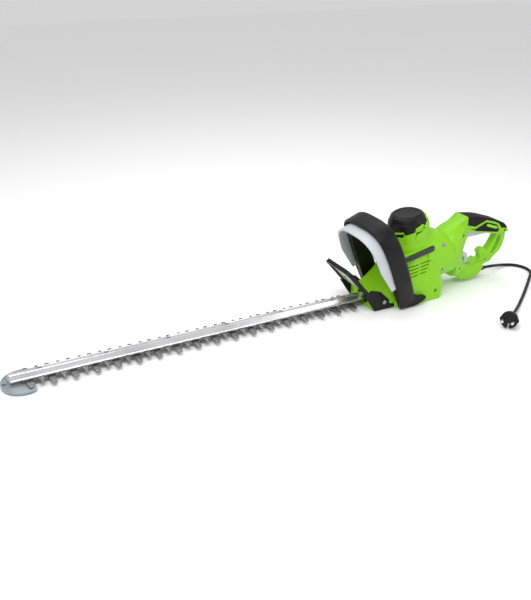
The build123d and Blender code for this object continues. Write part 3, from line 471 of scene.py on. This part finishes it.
def from_grid(name, rows, closed_ring=True, closed_length=False):
    """A skin over rows of points. Each row is one ring, and the end rows are capped when open."""
    work = bmesh.new()
    made = [[work.verts.new(point) for point in row] for row in rows]
    count = len(rows[0])
    spans = len(rows) if closed_length else len(rows) - 1
    ring = count if closed_ring else count - 1
    for i in range(spans):
        here, after = made[i], made[(i + 1) % len(rows)]
        for j in range(ring):
            k = (j + 1) % count
            work.faces.new((here[j], here[k], after[k], after[j]))
    if not closed_length:
        work.faces.new(list(reversed(made[0])))
        work.faces.new(made[-1])
    bmesh.ops.recalc_face_normals(work, faces=work.faces)
    mesh = bpy.data.meshes.new(name)
    work.to_mesh(mesh)
    work.free()
    for face in mesh.polygons:
        face.use_smooth = True
    return mesh


def add_rounding(piece, width, segments=2, angle=30.0):
    bevel = piece.modifiers.new("rounding", "BEVEL")
    bevel.width = width
    bevel.segments = segments
    bevel.limit_method = "ANGLE"
    bevel.angle_limit = math.radians(angle)
    bevel.harden_normals = True


def side_prism(name, outline, y0, y1):
    """A side outline in X-Z, in millimetres, standing between two Y values."""
    work = bmesh.new()
    near = [work.verts.new((x * MM, y0 * MM, z * MM)) for x, z in outline]
    far = [work.verts.new((x * MM, y1 * MM, z * MM)) for x, z in outline]
    work.faces.new(near)
    work.faces.new(list(reversed(far)))
    for i in range(len(outline)):
        k = (i + 1) % len(outline)
        work.faces.new((near[i], far[i], far[k], near[k]))
    bmesh.ops.recalc_face_normals(work, faces=work.faces)
    mesh = bpy.data.meshes.new(name)
    work.to_mesh(mesh)
    work.free()
    for face in mesh.polygons:
        face.use_smooth = True
    return mesh


def strip_between(name, line, half_width, y0, y1):
    """A ribbon of even width along a line in X-Z, standing between two Y values."""
    points = [Vector((x, 0, z)) for x, z in line]
    upper, lower = [], []
    for i, point in enumerate(points):
        before = points[max(0, i - 1)]
        after = points[min(len(points) - 1, i + 1)]
        way = (after - before).normalized()
        square = Vector((-way.z, 0, way.x)) * half_width
        upper.append((point + square).xz)
        lower.append((point - square).xz)
    return side_prism(name, [tuple(p) for p in upper] + [tuple(p) for p in reversed(lower)], y0, y1)


# ---- motor cap and collar ---------------------------------------------------------------------------
LOBES = 6
CAP_PROFILE = [
    (22.5, -1.4), (23.6, -1.2), (24.4, -0.2), (25.6, 0.0), (27.6, -0.1), (28.8, -0.9), (30.6, -2.2),
    (33.2, -3.4), (34.6, -5.6), (36.2, -9.0), (37.6, -12.4), (38.0, -13.4), (38.9, -14.0), (39.8, -17.5),
    (41.0, -24.0), (41.6, -30.0), (41.8, -38.0),
]
CAP_STEPS = 120
COLLAR_STEPS, COLLAR_LAYERS = 240, 46
COLLAR_R, COLLAR_WALL, COLLAR_LIFT = 44.1, 3.4, 0.26
COLLAR_REACH = 42.0
SEAM_DEPTH, LOBE_DROP = 18.0, 7.0
TOWER_CUT = 44.0
TOWER_LAP = 4.0
DOME_R, DOME_START, DOME_PROUD = 42.0, 26.0, 3.0
POCKETS = [math.radians(angle) for angle in (-150, -90, -30, 30, 90, 150)]
POCKET_HALF, POCKET_TOP, POCKET_LOW, POCKET_DEEP = 13.0, 3.0, 13.5, 2.6
POCKET_SLANT, POCKET_MIDDLE = 0.9, 8.0


def motor_frame():
    """Places a point given across the motor (x forward-aft, y) and along its axis, from the cap's disc."""
    lean = Matrix.Rotation(-MOTOR_TILT, 4, "Y")
    return Matrix.Translation((DISC_X, 0, DISC_Z)) @ lean @ Matrix.Scale(MM, 4)


def lobe_wave(angle):
    """1 in a lobe and 0 under an arch, with short slopes between them."""
    phase = (angle * LOBES / (2 * math.pi) + 0.5) % 1.0
    return min(1.0, max(0.0, (0.29 - abs(phase - 0.5)) / 0.06))


def seam_depth(angle):
    """How far below the disc the black cap ends and the green collar begins."""
    return SEAM_DEPTH + LOBE_DROP * lobe_wave(angle) - COLLAR_LIFT * COLLAR_REACH * math.cos(angle)


def make_motor_cap():
    place = motor_frame()
    rows = []
    for radius, height in CAP_PROFILE:
        ring = []
        for i in range(CAP_STEPS):
            angle = 2 * math.pi * i / CAP_STEPS
            ring.append(place @ Vector((radius * math.cos(angle), radius * math.sin(angle), height)))
        rows.append(ring)
    mesh = from_grid("motor_cap_moulded", rows)
    add_rounding(add_piece("motor_cap_moulded", mesh, "housing", "black_shell", ["motor_cap"]), 0.0003)


def pocket_depth(angle, below_seam):
    """The cooling pockets under the arches: a slanted recess in the collar."""
    for centre in POCKETS:
        off = (angle - centre + math.pi) % (2 * math.pi) - math.pi
        across = math.degrees(off) + POCKET_SLANT * (below_seam - POCKET_MIDDLE)
        if abs(across) < POCKET_HALF and POCKET_TOP < below_seam < POCKET_LOW:
            return POCKET_DEEP
    return 0.0


def open_tower(piece):
    """Takes off the housing's plain tower top, which the moulded collar stands in for."""
    place = motor_frame()
    work = bmesh.new()
    work.from_mesh(piece.data)
    across = place.to_3x3() @ Vector((-COLLAR_LIFT, 0, 1))
    bmesh.ops.bisect_plane(
        work, geom=work.verts[:] + work.edges[:] + work.faces[:], dist=0.000001,
        plane_co=place @ Vector((0, 0, -TOWER_CUT)), plane_no=across.normalized(), clear_outer=True,
    )
    bmesh.ops.triangle_fill(work, edges=[edge for edge in work.edges if edge.is_boundary], use_beauty=True)
    work.to_mesh(piece.data)
    work.free()


def make_collar():
    """The green collar: its upper edge steps up and down round the cap's lobes."""
    place = motor_frame()
    rows = []
    for i in range(COLLAR_STEPS):
        angle = 2 * math.pi * i / COLLAR_STEPS
        top = seam_depth(angle)
        low = TOWER_CUT + TOWER_LAP - COLLAR_LIFT * COLLAR_REACH * math.cos(angle)
        outer, inner = [], []
        for j in range(COLLAR_LAYERS + 1):
            depth = top + (low - top) * j / COLLAR_LAYERS
            above = max(0.0, DOME_START - depth)
            dome = DOME_R - 0.17 * above - 0.012 * above ** 2
            radius = min(COLLAR_R, dome + DOME_PROUD) - pocket_depth(angle, depth - top)
            outer.append(place @ Vector((radius * math.cos(angle), radius * math.sin(angle), -depth)))
            if j in (0, COLLAR_LAYERS):
                slim = radius - COLLAR_WALL
                inner.append(place @ Vector((slim * math.cos(angle), slim * math.sin(angle), -depth)))
        rows.append(outer + list(reversed(inner)))
    mesh = from_grid("motor_collar", rows, closed_ring=True, closed_length=True)
    add_rounding(add_piece("motor_collar", mesh, "housing", "green_shell"), 0.0005, 2, 40.0)


# ---- front handle --------------------------------------------------------------------------------------
GROOVE_DEPTH = 0.012
GROOVE_OUTER, GROOVE_INNER = 0.0041, 0.0112
REAR_ROUND, FRONT_ROUND = 0.0085, 0.0028
FLOOR_GAP = 0.0010
FOOT_OUTLINE = [
    (-27, 8), (-22, 4), (-8, 2.2), (8, 2), (20, 4.5), (28, 7), (36, 11.5), (39.5, 15.5), (38.5, 19.5),
    (34, 21.5), (24, 22), (14, 25), (6, 32), (-2, 40), (-24, 34), (-28, 20),
]


def arch_outline(half, height, foot_half):
    return [
        (foot_half, 0.0),
        (foot_half + 0.35 * (half - foot_half), 0.10 * height),
        (foot_half + 0.85 * (half - foot_half), 0.28 * height),
        (half, 0.50 * height),
        (0.965 * half, 0.72 * height),
        (0.81 * half, 0.90 * height),
        (0.45 * half, 0.985 * height),
        (0.0, height),
    ]


def smooth_arch(half, height, foot_half, per_span=6):
    """The whole arch from foot to foot as a smooth line through its outline's points."""
    points = arch_outline(half, height, foot_half)
    points = points + [(-y, z) for y, z in reversed(points[:-1])]
    padded = [points[0]] + points + [points[-1]]
    line = []
    for a, b, c, d in zip(padded, padded[1:], padded[2:], padded[3:]):
        for i in range(per_span):
            t = i / per_span
            weights = (
                -0.5 * t + t * t - 0.5 * t ** 3,
                1 - 2.5 * t * t + 1.5 * t ** 3,
                0.5 * t + 2 * t * t - 1.5 * t ** 3,
                -0.5 * t * t + 0.5 * t ** 3,
            )
            y = sum(w * p[0] for w, p in zip(weights, (a, b, c, d)))
            z = sum(w * p[1] for w, p in zip(weights, (a, b, c, d)))
            line.append(Vector((0, y, z)))
    line.append(Vector((0, *points[-1])))
    return line


def bail_place(depth, across, up):
    """From the handle's own leaning plane to the frame."""
    x = depth * math.cos(BAIL_LEAN) - up * math.sin(BAIL_LEAN)
    z = depth * math.sin(BAIL_LEAN) + up * math.cos(BAIL_LEAN)
    return BAIL_FOOT + Vector((x, across, z))


def corner(centre, radius, start, steps=4):
    """A quarter round of points, going on from the angle start."""
    points = []
    for i in range(steps + 1):
        angle = start + math.pi / 2 * i / steps
        points.append((centre[0] + radius * math.cos(angle), centre[1] + radius * math.sin(angle)))
    return points


def bail_section(thick, grooved):
    """(depth, inwards) points round the handle's section, with a groove for the switch band."""
    front, rear = -BAIL_DEPTH / 2, BAIL_DEPTH / 2
    soft, edge = REAR_ROUND, FRONT_ROUND
    floor = front + (GROOVE_DEPTH if grooved else 0.0002)
    ring = corner((rear - soft, soft), soft, -math.pi / 2)
    ring += corner((rear - soft, thick - soft), soft, 0.0)
    ring += corner((front + edge, thick - edge), edge, math.pi / 2)
    ring += [(front, GROOVE_INNER), (floor, GROOVE_INNER), (floor, GROOVE_OUTER), (front, GROOVE_OUTER)]
    ring += corner((front + edge, edge), edge, math.pi)
    return ring


def make_bail():
    outer = smooth_arch(BAIL_HALF, BAIL_H, FOOT_INNER + 0.012)
    inner = smooth_arch(BAIL_HALF - BAIL_THICK, BAIL_H - BAIL_THICK, FOOT_INNER + 0.0005)
    rows = []
    for out, core in zip(outer, inner):
        inwards = core - out
        thick = inwards.length
        grooved = out.z > GROOVE_LOW
        row = []
        for depth, way in bail_section(thick, grooved):
            spot = out + inwards * (way / thick)
            place = bail_place(depth, spot.y, spot.z)
            place.z = max(place.z, FLOOR_GAP)
            row.append(place)
        rows.append(row)
    arch = from_grid("front_handle_arch", rows)
    add_piece("front_handle_arch", arch, "housing", "black_shell", ["front_handle"])
    for side, label in ((-1, "left"), (1, "right")):
        low, high = sorted((side * FOOT_INNER / MM, side * FOOT_OUTER / MM))
        foot = side_prism(f"handle_foot_{label}", FOOT_OUTLINE, low, high)
        add_rounding(add_piece(f"handle_foot_{label}", foot, "housing", "black_shell"), 0.0030, 4)


# ---- rear handle trim ------------------------------------------------------------------------------------
STRIPE = [
    (171, 134), (183, 129.5), (195, 127), (209, 132), (224.5, 137.5), (243, 131.5), (259, 125.5), (267, 117),
    (270, 108),
]
STRIPE_HALF = 1.5
TRIM_IN, TRIM_OUT = 17.0, 19.3
PILL = [
    (225.5, 127.5), (226.5, 130.5), (229.5, 130.9), (256.5, 120.9), (258.7, 118.2), (257.5, 115.8),
    (254.5, 115.2), (228, 125),
]


def make_grip_trim():
    """The green zigzag stripe between the grip's soft pads, and the pill under it, on both sides."""
    for side, label in ((-1, "left"), (1, "right")):
        low, high = sorted((side * TRIM_IN, side * TRIM_OUT))
        stripe = strip_between(f"grip_stripe_{label}", STRIPE, STRIPE_HALF, low, high)
        add_rounding(add_piece(f"grip_stripe_{label}", stripe, "rear_handle", "green_shell"), 0.0005)
        pill = side_prism(f"grip_pill_{label}", PILL, low, high)
        add_rounding(add_piece(f"grip_pill_{label}", pill, "rear_handle", "green_shell"), 0.0005)


dress_cad_nodes()
for cad_node, cad_body, edge_radius in SOFTENED:
    moulding = softened(cad_node, cad_body, edge_radius)
    if cad_node in ("housing_left", "housing_right"):
        open_tower(moulding)
make_motor_cap()
make_collar()
make_bail()
make_grip_trim()
make_cord()
make_camera()
make_studio()
bpy.context.scene.view_settings.view_transform = "Standard"
